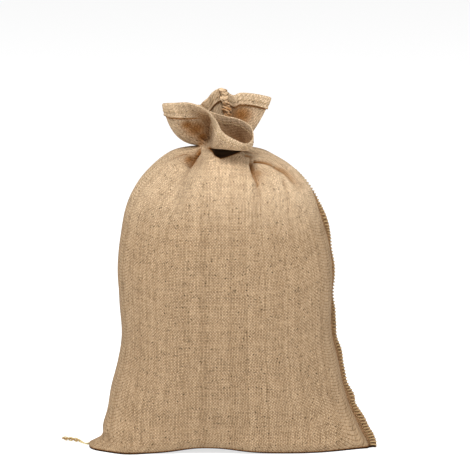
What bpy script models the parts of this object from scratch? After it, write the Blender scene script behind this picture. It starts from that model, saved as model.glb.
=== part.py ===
"""A filled hessian sack that stands on its base, its mouth gathered and flared open.

The sack is one length of cloth, folded at its left side, overedged up its right
side and along its base, and hemmed round the mouth. A chain of sewing thread trails
from the left corner of the base.

The cloth is followed as a grid. "Around" runs from the side seam over the back to
the left fold, and home over the front. "Up" runs from the base to the rim of the
mouth and down inside it. Sizes are in millimetres until a mesh is made. +X is to the
right, +Y to the back and +Z up, and the origin is on the floor under the middle.
"""

from collections import namedtuple

import bmesh
import bpy
import numpy as np

MM = 0.001

# ---------------------------------------------------------------- the cloth
WALL = 2.4  # how thick the cloth is in the flared mouth
HEM_WIDTH = 20.0
HEM_STANDS = 3.2  # how far the hem's lower edge stands out of the cloth
HEM_TOP_STANDS = 1.0
SEAM_THICKNESS = 4.0
SEAM_AT_RIM = 7.0  # how far the seam stands out at the rim
EAR_SHARPNESS = 40  # the power that keeps an ear to the extreme corner at the back
EAR_SQUARES = 0.03  # how much each millimetre of an ear squares the front's corners

# ---------------------------------------------------------------- the grid
FRONT_COLUMNS = 60
BACK_COLUMNS = 40
FILLED_ROWS = 27  # from the base to the neck
FLARE_ROWS = 6  # from the neck to the hem
HEM_ROWS = 3
INSIDE_ROWS = 6  # down the inside of the mouth
MOUTH_FLOOR = 535.0  # the height at which the gathered cloth closes the mouth
MOUTH_FLOOR_SLOPE = 0.08  # how fast its floor falls towards the front
SEAM_EDGE = 0.0014  # shares of the way round at which the seam's edge
SEAM_FOOT = 0.0028  # and its foot are
BASE_KEYS = 3  # the lowest sections, each of which is a row of the grid
POINTS_PER_SPAN = 40  # of a smooth curve, between two of its table's rows

# ---------------------------------------------------------------- the sections
# Each row is a closed outline round the sack at height z, with its extremes to the
# left, right, front and back. The front and back hang lower than the sides by dip.
# ear is how far the sewn left corner reaches past the filled cloth, and seam how far
# the overedged seam stands out. Of roundness, 2 is an ellipse, and more squares it.
# gathered is the share of the mouth's folds that the section already has. SEAM_BEHIND
# says, for some heights, how far behind the right extreme the seam runs.
Section = namedtuple(
    "Section", "name z left right front back dip ear seam roundness gathered"
)
SECTIONS = (
    Section("base", 0, -219, 238, -94, 90, 0, 29, 12, 3.0, 0),
    Section("base turn", 5, -221, 237, -100, 97, 0, 28, 13, 3.0, 0),
    Section("ear", 14, -226.5, 232, -103, 101, 0, 7, 14, 3.4, 0),
    Section("above the ear", 30, -226, 222, -104, 104, 0, 0, 14, 3.3, 0),
    Section("low", 58, -217, 208, -108, 108, 0, 0, 13, 2.9, 0),
    Section("lower belly", 98, -210, 195, -114, 114, 0, 0, 11, 2.5, 0),
    Section("belly", 143, -199, 186, -120, 121, 0, 0, 9, 2.3, 0),
    Section("side dents", 190, -192, 176, -124, 126, 0, 0, 9, 2.3, 0),
    Section("waist", 249, -196, 174, -126, 129, 0, 0, 9, 2.3, 0),
    Section("chest", 310, -200, 172, -125, 129, 0, 0, 9, 2.3, 0),
    Section("upper chest", 366, -195, 164, -120, 125, 2, 0, 8, 2.2, 0),
    Section("under the shoulder", 414, -184, 150, -110, 116, 6, 0, 7, 2.1, 0),
    Section("shoulder", 454, -168, 138, -96, 101, 8, 0, 5, 2.0, 0),
    Section("shoulder top", 484, -146, 117, -80, 84, 10, 0, 3, 2.0, 0.04),
    Section("crown", 506, -121, 92, -64, 68, 12, 0, 1.5, 2.0, 0.12),
    Section("collar", 519, -98, 66, -50, 50, 10, 0, 0, 2.0, 0.4),
    Section("neck", 526, -58, 18, -36, 30, 2, 0, 0, 2.0, 1),
)
SEAM_BEHIND = ((0, 0), (414, 0), (454, 28), (484, 42), (506, 38), (519, 18), (526, 8))
NECK_LOW = (-58, -36)  # the neck's extremes to the left and front
NECK_HIGH = (18, 30)  # and to the right and back

# The two sewn corners of the base are pulled forward and drawn in. begins is how far
# out from the middle that starts, and sharpness how late most of it comes. The front and
# the back are drawn in by shares of their own, and bulge lets the front swell before it.
Corner = namedtuple("Corner", "name side begins sharpness forward front_in back_in bulge")
CORNERS = (
    Corner("left ear", -1, 125, 1.2, 30, 0.35, 1.0, 14),
    Corner("seam's corner", 1, 140, 2.0, 54, 0.8, 0.8, 0),
)
BULGE_AT = 185.0
BULGE_WIDE = 35.0
CORNER_REACH = 100.0
CORNER_HEIGHT = 110.0

# ---------------------------------------------------------------- the mouth
# The rim goes round as the cloth does: along the front from the left fold, back on
# itself behind the scoop, out again to the seam, and home round the back.
# belly bows the wall out from the neck, and sag bows it down. neck_x and neck_y are where
# the same fold of cloth passes through the neck.
RimPoint = namedtuple("RimPoint", "name x y z belly sag neck_x neck_y")
SEAM = "seam"
RIM = (
    RimPoint("left fold", -119, 0, 598, 10, 17, -58, -2),
    RimPoint("left lobe", -98, -30, 604, 8, 12, -57, -8),
    RimPoint("left lobe front", -77, -45, 607, -12, 4, -55, -14),
    RimPoint("left lobe end", -58, -52, 603, -20, 2, -52, -18),
    RimPoint("trough", -42, -56, 595, -16, 0, -47, -21),
    RimPoint("trough edge", -29, -60, 581, -4, 2, -42, -26),
    RimPoint("scoop begins", -16, -67, 560, 12, 4, -33, -28),
    RimPoint("scoop front", 2, -73, 549, 14, 5, -19, -25),
    RimPoint("scoop lip", 24, -76, 541, 13, 5, -2, -27),
    RimPoint("scoop corner", 36, -64, 549, 10, 8, 12, -27),
    RimPoint("scoop end", 33, -48, 566, 3, 6, 18, -19),
    RimPoint("scoop back", 12, -35, 577, 0, 0, 12, -11),
    RimPoint("scoop back left", -18, -24, 582, 0, 0, -8, -12),
    RimPoint("pleat", -42, -15, 589, 0, 0, -30, -11),
    RimPoint("pleat turn", -53, -4, 597, 0, 0, -34, -4),
    RimPoint("peak begins", -42, 4, 607, 0, 0, -27, 1),
    RimPoint("peak rises", -32, 6, 618, 0, 0, -20, 3),
    RimPoint(SEAM, -17, 7, 625, 0, 0, -10, 4),
    RimPoint("right lobe begins", 1, 4, 612, 0, 0, -1, 4),
    RimPoint("right lobe rises", 15, 4, 617, 0, 0, 7, 4),
    RimPoint("right lobe", 40, 10, 614, 0, 0, 13, 6),
    RimPoint("right lobe tip", 67, 23, 605, 4, 3, 18, 11),
    RimPoint("back right", 48, 40, 603, 5, 2, 14, 20),
    RimPoint("back right wave", 22, 32, 600, 0, 0, 5, 18),
    RimPoint("back middle", 2, 52, 597, 10, 0, -5, 29),
    RimPoint("back middle wave", -22, 38, 596, 0, 0, -17, 21),
    RimPoint("back left", -48, 57, 587, 12, 0, -32, 30),
    RimPoint("back left wave", -76, 40, 589, 0, 0, -44, 19),
    RimPoint("behind the left fold", -104, 30, 590, 10, 8, -54, 9),
)

# ---------------------------------------------------------------- the folds
# Creases that run down from the neck. side is -1 on the front and 1 on the back. Each
# goes from top through middle to end, given as x and height, as seen from that side a
# little from above. Its soft walls reach over left_wall and right_wall at the end.
Fold = namedtuple("Fold", "name side top middle end depth left_wall right_wall")
FOLDS = (
    Fold("left of the tongue", -1, (-56, 516), (-66, 500), (-76, 474), 20, 18, 8),
    Fold("left roll", -1, (-58, 518), (-84, 512), (-112, 499), 5, 8, 10),
    Fold("right of the tongue", -1, (27, 502), (37, 471), (46, 430), 14, 8, 18),
    Fold("under the ridge", -1, (32, 498), (60, 492), (92, 476), 9, 8, 10),
    Fold("at the right lobe", -1, (76, 489), (98, 475), (124, 440), 8, 10, 12),
    Fold("back, left", 1, (-57, 512), (-84, 478), (-112, 408), 12, 16, 12),
    Fold("back, middle", 1, (-26, 510), (-30, 476), (-36, 414), 11, 12, 18),
    Fold("back, right", 1, (8, 508), (34, 474), (62, 414), 12, 12, 16),
)
LOOKING_DOWN = 0.2035  # how far a step towards the eye lowers a point in such a view

# ---------------------------------------------------------------- the thread tail
TAIL_DIAMETER = 4.0
TAIL_STEP = 6.0
TAIL_ROUTE = (
    (-249.5, -32, 2.6),
    (-254, -34, 2.4),
    (-261, -27, 2.6),
    (-267, -18, 3.4),
    (-277, -11, 4.0),
    (-288, -7, 4.0),
    (-298, 0, 3.8),
)

SACK_COLOUR = (0.47, 0.31, 0.17, 1.0)
THREAD_COLOUR = (0.50, 0.36, 0.18, 1.0)


def smooth_curve(points, closed=False):
    """A curve through points, whose slope at each follows its neighbours."""
    points = np.asarray(points, float)
    if closed:
        slopes = (np.roll(points, -1, 0) - np.roll(points, 1, 0)) / 2
        points = np.concatenate([points, points[:1]])
        slopes = np.concatenate([slopes, slopes[:1]])
    else:
        slopes = np.gradient(points, axis=0)
    spans = len(points) - 1
    at = np.linspace(0, spans, POINTS_PER_SPAN * spans + 1)
    low = np.minimum(at.astype(int), spans - 1)
    return blend_between(points, slopes, slopes, low, (at - low)[:, None])


def blend_between(values, slopes_out, slopes_in, low, t):
    """The cubic between values[low] and the next, with the slopes it leaves and meets."""
    return (
        values[low] * (1 + 2 * t) * (1 - t) ** 2
        + slopes_out[low] * t * (1 - t) ** 2
        + values[low + 1] * t**2 * (3 - 2 * t)
        - slopes_in[low + 1] * t**2 * (1 - t)
    )


def spaced(curve, shares):
    """Values of a curve at shares of its length, which x, y and z alone decide."""
    steps = np.linalg.norm(np.diff(curve[:, :3], axis=0), axis=1)
    along = np.concatenate([[0.0], np.cumsum(steps)])
    return np.stack([np.interp(shares * along[-1], along, c) for c in curve.T], axis=1)


def half_by_half(over_back, over_front, around):
    """Points round the sack, from a curve over its back and a curve over its front."""
    back, front = around[around < 0.5], around[around >= 0.5]
    return np.concatenate([spaced(over_back, back * 2), spaced(over_front, front * 2 - 1)])


def columns_around():
    """Shares of the way round the cloth. The last two and the first two are the seam's."""
    back = np.linspace(0, 0.5, BACK_COLUMNS, endpoint=False)[1:]
    front = np.linspace(0.5, 1, FRONT_COLUMNS, endpoint=False)
    return np.concatenate(
        [[SEAM_EDGE, SEAM_FOOT], back, front, [1 - SEAM_FOOT, 1 - SEAM_EDGE]]
    )


def rim_ring(around):
    """The rim's points, with belly, sag and the place in the neck in the last columns."""
    curve = smooth_curve([point[1:] for point in RIM], closed=True)
    seam_at = POINTS_PER_SPAN * [point.name for point in RIM].index(SEAM)
    return half_by_half(curve[seam_at:], curve[: seam_at + 1], around)


def begun_later(over_back, over_front, by):
    """The two curves, with the first stretch of the back's moved to the front's end."""
    steps = np.linalg.norm(np.diff(over_back, axis=0), axis=1)
    cut = int(np.searchsorted(np.cumsum(steps), by))
    return over_back[cut:], np.concatenate([over_front, over_back[1 : cut + 1]])


def section_ring(section, around, rim):
    """A section's outline, part of the way to the folds of the rim where it is gathered."""
    middle = (section.left + section.right) / 2
    half = (section.right - section.left) / 2
    angle = np.linspace(0, np.pi, 18 * POINTS_PER_SPAN)
    side, across, deep = np.sign(np.cos(angle)), np.abs(np.cos(angle)), np.sin(angle)
    z = section.z - section.dip * deep**2
    ear = section.ear * (side < 0)
    power = 2 / section.roundness
    reach = half * across**power + ear * across**EAR_SHARPNESS
    back = np.stack([middle + side * reach, section.back * deep**power, z], axis=1)
    power = 2 / (section.roundness + EAR_SQUARES * ear)
    reach = (half + ear) * across**power
    front = np.stack([middle + side * reach, section.front * deep**power, z], axis=1)
    behind = np.interp(section.z, *np.array(SEAM_BEHIND, float).T)
    ring = half_by_half(*begun_later(back, front[::-1], behind), around)
    low, high = np.array(NECK_LOW), np.array(NECK_HIGH)
    near = np.array([section.left, section.front])
    far = np.array([section.right, section.back])
    folded = near + (rim[:, 5:] - low) / (high - low) * (far - near)
    ring[:, :2] += section.gathered * (folded - ring[:, :2])
    return ring


def filled_rows(around, rim):
    """The rows of the filled body up to the neck, and the seam's width on each."""
    keys = np.stack([section_ring(section, around, rim) for section in SECTIONS])
    seam, gathered = np.array([(one.seam, one.gathered) for one in SECTIONS], float).T
    steps = np.linalg.norm(np.diff(keys, axis=0), axis=2).mean(axis=1)
    key_at = np.concatenate([[0.0], np.cumsum(steps)])
    slopes = np.gradient(keys, key_at, axis=0)
    even = np.linspace(key_at[BASE_KEYS], key_at[-1], FILLED_ROWS - BASE_KEYS)
    rows_at = np.concatenate([key_at[:BASE_KEYS], even])
    low = np.clip(np.searchsorted(key_at, rows_at, side="right") - 1, 0, len(keys) - 2)
    span = np.diff(key_at)[:, None, None]
    t = (rows_at - key_at[low])[:, None, None] / span[low]
    leaving = slopes.copy()
    leaving[:-1] *= span
    meeting = slopes.copy()
    meeting[1:] *= span
    rows = blend_between(keys, leaving, meeting, low, t)
    rows = corners_turned(pressed(rows, np.interp(rows_at, key_at, gathered)))
    return rows, np.interp(rows_at, key_at, seam)


def flare_rows(rim, neck, share):
    """The mouth's wall at shares of the way from neck to rim, bowed by belly and sag."""
    outward = rim[:, :2] - rim[:, :2].mean(axis=0)
    outward = outward / np.linalg.norm(outward, axis=1, keepdims=True)
    bow = np.concatenate([outward * rim[:, 3:4], -rim[:, 4:5]], axis=1)
    share = share[..., None]
    return neck + (rim[:, :3] - neck) * share + 4 * share * (1 - share) * bow


def normals_of(rows):
    """Outward directions of a grid whose rows close on themselves and climb."""
    across = np.roll(rows, -1, axis=1) - np.roll(rows, 1, axis=1)
    upward = np.gradient(rows, axis=0)
    normal = np.cross(across, upward)
    return normal / np.maximum(np.linalg.norm(normal, axis=2, keepdims=True), 1e-9)


def fold_depth(fold, rows):
    """How deep one fold presses the cloth at each point of the grid."""
    spine = smooth_curve([fold.top, fold.middle, fold.end])
    seen_up = rows[..., 2] - fold.side * LOOKING_DOWN * rows[..., 1]
    place = np.stack([rows[..., 0], seen_up], axis=-1)[..., None, :] - spine
    distance = np.linalg.norm(place, axis=-1)
    nearest = distance.argmin(axis=-1)
    along = nearest / (len(spine) - 1)
    run = np.gradient(spine, axis=0)
    run = run / np.linalg.norm(run, axis=1, keepdims=True)
    offset = np.take_along_axis(place, nearest[..., None, None], axis=-2)[..., 0, :]
    turned = offset[..., 0] * run[nearest][..., 1] - offset[..., 1] * run[nearest][..., 0]
    wall = np.where(turned > 0, fold.left_wall, fold.right_wall) * (0.35 + 0.65 * along)
    fade = np.cos(along * np.pi / 2)
    on_side = 1 / (1 + np.exp(-fold.side * rows[..., 1] / 4))
    return fold.depth * fade * on_side * np.exp(-((distance.min(axis=-1) / wall) ** 2))


def pressed(rows, gathered):
    """The rows with the folds pressed in, where the neck hasn't gathered them already."""
    depth = sum(fold_depth(fold, rows) for fold in FOLDS) * (1 - gathered)[:, None]
    return rows - normals_of(rows) * depth[..., None]


def corners_turned(rows):
    """The rows with the two corners of the base pulled forward and drawn in."""
    rows = rows.copy()
    fade = np.clip(1 - rows[..., 2] / CORNER_HEIGHT, 0, 1) ** 1.5
    for corner in CORNERS:
        x, y = corner.side * rows[..., 0], rows[..., 1]
        out = np.clip((x - corner.begins) / CORNER_REACH, 0, 1) ** corner.sharpness * fade
        swell = np.exp(-(((x - BULGE_AT) / BULGE_WIDE) ** 2)) * fade * (y < 0)
        drawn_in = np.where(y < 0, corner.front_in, corner.back_in)
        rows[..., 1] -= out * (drawn_in * y + corner.forward) + corner.bulge * swell
    return rows


def with_seam(rows, width):
    """The rows with the overedged seam standing out of the first and last two columns."""
    out = normals_of(rows)[:, 2] + normals_of(rows)[:, -3]
    out = out / np.linalg.norm(out, axis=1, keepdims=True)
    along = rows[:, 1] - rows[:, -2]
    along = along / np.linalg.norm(along, axis=1, keepdims=True)
    middle = (rows[:, 1] + rows[:, -2]) / 2
    room = np.linalg.norm(rows[:, 2] - rows[:, -3], axis=1, keepdims=True)
    half = np.minimum(SEAM_THICKNESS / 2, 0.3 * room)
    rows = rows.copy()
    for column, sense, reach in ((1, 1, 0), (0, 1, 1), (-1, -1, 1), (-2, -1, 0)):
        aside = sense * along * half
        rows[:, column] = middle + aside + out * (reach * width)[:, None]
    rows[..., 2] = np.maximum(rows[..., 2], 0)
    return rows


def floor_shares(rim, neck):
    """How far up the wall the floor of the mouth meets it, in each column."""
    share = np.linspace(0, 1, 101)[1:, None] * np.ones(len(rim))
    wall = flare_rows(rim, neck, share)
    below = wall[..., 2] < MOUTH_FLOOR + MOUTH_FLOOR_SLOPE * wall[..., 1]
    return share[(below * share).argmax(axis=0), 0]


def sack_rows():
    """The outside and the inside of the sack, as two grids."""
    around = columns_around()
    rim = rim_ring(around)
    body, seam = filled_rows(around, rim)
    neck = body[-1]
    wall_length = np.linalg.norm(rim[:, :3] - neck, axis=1)
    hem_at = 1 - HEM_WIDTH / np.maximum(wall_length, 1.6 * HEM_WIDTH)
    flare = np.linspace(0, 1, FLARE_ROWS + 1)[1:, None] * hem_at
    hem = hem_at + np.linspace(0, 1, HEM_ROWS)[:, None] * (1 - hem_at)
    mouth = flare_rows(rim, neck, np.concatenate([flare, hem]))
    outside = np.concatenate([body, mouth])
    stands = np.linspace(HEM_STANDS, HEM_TOP_STANDS, HEM_ROWS)
    outside[-HEM_ROWS:] += normals_of(outside)[-HEM_ROWS:] * stands[:, None, None]
    seam = np.concatenate([seam, np.linspace(seam[-1], SEAM_AT_RIM, len(mouth))])
    floor = floor_shares(rim, neck)
    up = floor + np.linspace(0, 1, INSIDE_ROWS)[:, None] * (1 - floor)
    inside = flare_rows(rim, neck, up)
    inside -= normals_of(inside) * WALL
    inside[0, :, 2] = MOUTH_FLOOR + MOUTH_FLOOR_SLOPE * inside[0, :, 1]
    return with_seam(outside, seam), inside[::-1]


def material(name, colour, roughness):
    made = bpy.data.materials.new(name)
    made.use_nodes = True
    shader = made.node_tree.nodes["Principled BSDF"]
    shader.inputs["Base Color"].default_value = colour
    shader.inputs["Roughness"].default_value = roughness
    shader.inputs["Metallic"].default_value = 0.0
    return made


def make_sack(collection):
    """One closed skin: the base, the rows up to the rim, and the rows down inside it."""
    mesh = bmesh.new()
    rows = np.concatenate(sack_rows()) * MM
    made = [[mesh.verts.new(point) for point in row] for row in rows]
    for low, high in zip(made[:-1], made[1:]):
        for here in range(len(low)):
            beyond = (here + 1) % len(low)
            mesh.faces.new((low[here], low[beyond], high[beyond], high[here]))
    mesh.faces.new(made[0][::-1])
    mesh.faces.new(made[-1])
    mesh.normal_update()
    bmesh.ops.triangulate(mesh, faces=mesh.faces[:], quad_method="SHORT_EDGE")
    data = bpy.data.meshes.new("sack_cloth")
    mesh.to_mesh(data)
    mesh.free()
    data.shade_smooth()
    data.materials.append(material("hessian", SACK_COLOUR, 0.92))
    sack = bpy.data.objects.new("sack_cloth", data)
    collection.objects.link(sack)
    return sack


def make_tail(collection):
    """The chain of sewing thread that trails from the left corner of the base."""
    route = smooth_curve(TAIL_ROUTE)
    length = np.linalg.norm(np.diff(route, axis=0), axis=1).sum()
    points = spaced(route, np.linspace(0, 1, round(length / TAIL_STEP) + 1)) * MM
    curve = bpy.data.curves.new("thread_tail", "CURVE")
    curve.dimensions = "3D"
    curve.bevel_depth = TAIL_DIAMETER / 2 * MM
    curve.bevel_resolution = 2
    curve.use_fill_caps = True
    spline = curve.splines.new("POLY")
    spline.points.add(len(points) - 1)
    for place, point in zip(spline.points, points):
        place.co = (*point, 1.0)
    curve.materials.append(material("sewing thread", THREAD_COLOUR, 0.85))
    tail = bpy.data.objects.new("thread_tail", curve)
    collection.objects.link(tail)
    return tail


def main():
    for thing in list(bpy.data.objects):
        bpy.data.objects.remove(thing)
    collection = bpy.data.collections.new("hessian sack")
    bpy.context.scene.collection.children.link(collection)
    make_sack(collection)
    make_tail(collection)


main()
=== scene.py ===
# %% [markdown]
# # A filled hessian sack
#
# The sack is one length of coarse jute cloth. It is folded at its left side, sewn up its
# right side and along its base with an overedge stitch, and hemmed round the mouth. It
# stands on its base, its neck is gathered, and the mouth flares open in folds.
#
# The packed solids give its place and size. Here the cloth is worked out again on a much
# finer grid, with its smaller folds, its sewing and its weave.

# %% Load the frame
from collections import namedtuple

import bpy
import numpy as np
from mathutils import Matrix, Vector


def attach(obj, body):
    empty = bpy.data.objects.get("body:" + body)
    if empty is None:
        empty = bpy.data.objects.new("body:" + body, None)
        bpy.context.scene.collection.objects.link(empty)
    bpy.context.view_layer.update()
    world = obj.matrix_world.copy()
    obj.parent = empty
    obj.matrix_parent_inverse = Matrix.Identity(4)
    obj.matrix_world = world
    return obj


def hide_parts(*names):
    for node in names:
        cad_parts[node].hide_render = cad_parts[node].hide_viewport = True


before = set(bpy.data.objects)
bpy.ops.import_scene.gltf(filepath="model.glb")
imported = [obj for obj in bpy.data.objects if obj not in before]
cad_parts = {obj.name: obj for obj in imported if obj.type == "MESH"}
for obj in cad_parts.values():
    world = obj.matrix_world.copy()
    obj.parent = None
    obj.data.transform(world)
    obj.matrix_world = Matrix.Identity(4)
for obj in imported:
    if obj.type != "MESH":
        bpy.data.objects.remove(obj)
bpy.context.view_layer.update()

MM = 0.001  # metres in a millimetre

# %% [markdown]
# ## The camera, the floor and the light
#
# The camera stands far off with a long lens, a little above the sack and looking slightly
# down, so that perspective hardly changes its outline. The floor and the room are pale. A
# large soft light hangs in front and above, and a weak one at each side softens the shadows.

# %% Camera
AIM = np.array([0.0052, 0.0, 0.3675])
ELEVATION = np.radians(11.5)
DISTANCE = 6.0
WIDTH_IN_VIEW = 0.816  # metres across the view, at the sack


def add_object(name, data):
    """A new object in the scene, at the origin."""
    made = bpy.data.objects.new(name, data)
    bpy.context.scene.collection.objects.link(made)
    return made


camera_data = bpy.data.cameras.new("camera")
camera_data.sensor_width = 36.0
camera_data.lens = camera_data.sensor_width * DISTANCE / WIDTH_IN_VIEW
camera_data.clip_end = 50.0
camera = add_object("camera", camera_data)
camera.location = AIM + DISTANCE * np.array([0, -np.cos(ELEVATION), np.sin(ELEVATION)])
camera.rotation_euler = (np.pi / 2 - ELEVATION, 0, 0)
bpy.context.scene.camera = camera
print("lens", round(camera_data.lens), "mm at", DISTANCE, "m")

# %% Floor, room and lights
LIGHTS = (  # name, place, size in metres, watts
    ("overhead", (-0.45, -3.2, 6.3), 2.6, 500),
    ("left", (-3.4, -0.8, 1.5), 1.6, 34),
    ("right", (3.4, -0.8, 1.5), 1.6, 34),
)
ROOM_GLOW = 0.24
FLOOR_HALF = 30.0

for name, place, size, watts in LIGHTS:
    light_data = bpy.data.lights.new(name, "AREA")
    light_data.size, light_data.energy = size, watts
    light = add_object(name, light_data)
    light.location = place
    facing = Vector(AIM) - light.location
    light.rotation_euler = facing.to_track_quat("-Z", "Y").to_euler()

world = bpy.data.worlds.new("room")
world.use_nodes = True
glow = world.node_tree.nodes["Background"].inputs
glow["Color"].default_value = (1, 1, 1, 1)
glow["Strength"].default_value = ROOM_GLOW
bpy.context.scene.world = world
bpy.context.scene.view_settings.view_transform = "Standard"

floor_mesh = bpy.data.meshes.new("floor")
signs = ((-1, -1), (1, -1), (1, 1), (-1, 1))
floor_mesh.from_pydata([(x * FLOOR_HALF, y * FLOOR_HALF, 0) for x, y in signs], [], [(0, 1, 2, 3)])
floor = add_object("floor", floor_mesh)
print(len(LIGHTS), "lights and the floor are in place")

# %% [markdown]
# ## Curves and tables
#
# The sack's form is written down as a few outlines: one for each height of the filled
# body, and one for the rim of its mouth. A smooth curve through the rows of a table keeps
# the table short. Its slope at each row follows the neighbours, so it never has a kink.

# %% Curves, ramps, and numbers read from tables
POINTS_PER_SPAN = 40


def unit(vectors):
    """Each vector over its own length."""
    return vectors / np.maximum(np.linalg.norm(vectors, axis=-1, keepdims=True), 1e-9)


def step_lengths(points, axis=0):
    """Distances between neighbours along one axis of an array of points."""
    return np.linalg.norm(np.diff(points, axis=axis), axis=-1)


def run_along(points):
    """How far along a curve each of its points lies, from 0 at the first one."""
    return np.concatenate([[0.0], np.cumsum(step_lengths(points))])


def ramp(x, start, width):
    """0 up to start, then evenly up to 1 over a width."""
    return np.clip((x - start) / width, 0, 1)


def bell(x, width):
    """exp(-(x / width)^2): 1 at 0, and nearly nothing at twice the width."""
    return np.exp(-((x / width) ** 2))


def read_at(places, run, table):
    """Each column of a table at some places, on straight lines between its rows at run."""
    return np.stack([np.interp(places, run, column) for column in table.T], axis=-1)


def from_pairs(x, pairs):
    """A number for each x, on straight lines between (x, number) pairs."""
    return np.interp(x, *np.array(pairs, float).T)


def blend_between(values, slopes_out, slopes_in, low, t):
    """values[low] x (1 + 2t)(1 - t)^2 + its slope x t(1 - t)^2, and the same from the next."""
    return (
        values[low] * (1 + 2 * t) * (1 - t) ** 2
        + slopes_out[low] * t * (1 - t) ** 2
        + values[low + 1] * t**2 * (3 - 2 * t)
        - slopes_in[low + 1] * t**2 * (1 - t)
    )


def smooth_curve(points, closed=False):
    """A cubic through points, whose slope at each is half the step between its neighbours."""
    points = np.asarray(points, float)
    if closed:
        slopes = (np.roll(points, -1, 0) - np.roll(points, 1, 0)) / 2
        points = np.concatenate([points, points[:1]])
        slopes = np.concatenate([slopes, slopes[:1]])
    else:
        slopes = np.gradient(points, axis=0)
    spans = len(points) - 1
    at = np.linspace(0, spans, POINTS_PER_SPAN * spans + 1)
    low = np.minimum(at.astype(int), spans - 1)
    return blend_between(points, slopes, slopes, low, (at - low)[:, None])


def spaced(curve, shares):
    """Values of a curve at shares of its length, which x, y and z alone decide."""
    run = run_along(curve[:, :3])
    return read_at(shares * run[-1], run, curve)


print("a curve through 3 points has", len(smooth_curve([(0, 0), (1, 1), (2, 0)])), "points")

# %% Outlines of the filled body, in millimetres
# Each has its height, its reach to the left, right, front and back, how far its front and
# back hang lower, the length of the ear at its left end, the width of the seam, how square
# it is (2 is an ellipse), and how far it is gathered into the neck's folds, from 0 to 1.
Section = namedtuple(
    "Section", "name z left right front back dip ear seam squareness gathered"
)
SECTIONS = [Section(*row) for row in (
    ("base", 0, -219, 238, -94, 90, 0, 30, 12, 3.0, 0),
    ("base turn", 5, -221, 237, -100, 97, 0, 28, 13, 3.0, 0),
    ("ear", 11, -225, 234, -102, 100, 0, 12, 14, 3.3, 0),
    ("over the ear", 14, -226.5, 232, -103, 102, 0, 4, 15, 3.4, 0),
    ("ear ends", 18, -227, 229, -104, 103, 0, 0, 15, 3.4, 0),
    ("above the ear", 30, -226, 222, -104, 104, 0, 0, 15, 3.3, 0),
    ("low", 58, -217, 208, -108, 108, 0, 0, 14, 2.9, 0),
    ("lower belly", 98, -210, 195, -114, 114, 0, 0, 11, 2.5, 0),
    ("belly", 143, -199, 186, -120, 121, 0, 0, 9, 2.3, 0),
    ("side dents", 190, -192, 176, -124, 126, 0, 0, 9, 2.3, 0),
    ("waist", 249, -196, 173.5, -126, 129, 0, 0, 9, 2.3, 0),
    ("chest", 310, -200, 172, -125, 129, 0, 0, 9, 2.3, 0),
    ("upper chest", 366, -195, 164, -120, 125, 2, 0, 9, 2.2, 0),
    ("under the shoulder", 414, -184, 150, -110, 116, 6, 0, 9, 2.1, 0),
    ("shoulder", 454, -168, 138, -96, 101, 8, 0, 5, 2.0, 0),
    ("shoulder top", 484, -146, 117, -80, 84, 10, 0, 3, 2.0, 0.04),
    ("crown", 506, -121, 92, -64, 68, 12, 0, 1.5, 2.0, 0.12),
    ("collar", 519, -98, 66, -50, 50, 10, 0, 0, 2.0, 0.4),
    ("neck", 526, -58, 18, -36, 30, 2, 0, 0, 2.0, 1),
)]
print(len(SECTIONS), "outlines, from", SECTIONS[0].name, "to", SECTIONS[-1].name)

# %% The rim of the mouth, in millimetres
# Each point has its place, how far the wall below it bows outwards (belly) and downwards
# (sag), and the point of the neck that the wall rises from there.
RimPoint = namedtuple("RimPoint", "name x y z belly sag neck_x neck_y")
SEAM = "seam"
RIM = [RimPoint(*row) for row in (
    ("left fold", -119, 0, 598, 10, 17, -58, -2),
    ("left lobe", -98, -30, 604, 8, 12, -57, -8),
    ("left lobe front", -77, -45, 607, -18, 4, -55, -14),
    ("left lobe end", -58, -52, 603, -29, 2, -52, -18),
    ("trough", -42, -56, 595, -28, 0, -47, -21),
    ("trough edge", -29, -60, 581, -8, 2, -38, -26),
    ("scoop begins", -16, -67, 560, 12, 4, -30, -28),
    ("scoop front", 2, -73, 549, 14, 5, -19, -25),
    ("scoop lip", 24, -76, 541, 13, 5, -2, -27),
    ("scoop corner", 36, -64, 549, 10, 8, 12, -27),
    ("scoop end", 33, -48, 566, 3, 6, 18, -19),
    ("scoop back", 12, -35, 577, 0, 0, 12, -11),
    ("scoop back left", -18, -24, 582, 0, 0, -8, -12),
    ("pleat", -42, -15, 589, 0, 0, -30, -11),
    ("pleat turn", -53, -4, 597, 0, 0, -34, -4),
    ("peak begins", -42, 4, 607, 0, 0, -22, 1),
    ("peak rises", -32, 6, 618, 0, 0, -10, 3),
    (SEAM, -17, 7, 623.5, 0, 0, 3, 4),
    ("right lobe begins", 1, 4, 612, 0, 0, 8, 4),
    ("right lobe rises", 15, 4, 616, 0, 0, 12, 5),
    ("right lobe", 40, 10, 613.2, 0, 0, 15, 7),
    ("right lobe tip", 67, 23, 605, 4, 3, 18, 11),
    ("back right", 48, 40, 603, 5, 2, 14, 20),
    ("back right wave", 22, 32, 600, 0, 0, 5, 18),
    ("back middle", 2, 52, 597, 10, 0, -5, 29),
    ("back middle wave", -22, 38, 596, 0, 0, -17, 21),
    ("back left", -48, 57, 587, 12, 0, -32, 30),
    ("back left wave", -76, 40, 589, 0, 0, -44, 19),
    ("behind the left fold", -104, 30, 590, 10, 8, -54, 9),
)]
print(len(RIM), "points round the rim")

# %% [markdown]
# ## The folds
#
# Where the neck is gathered, creases run down over the shoulders. Each is a soft trough
# along a short curve: it has its own depth, and its two walls can differ, so that one side
# falls off like a cliff and the other like a slope. A negative depth raises a ridge.

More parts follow.
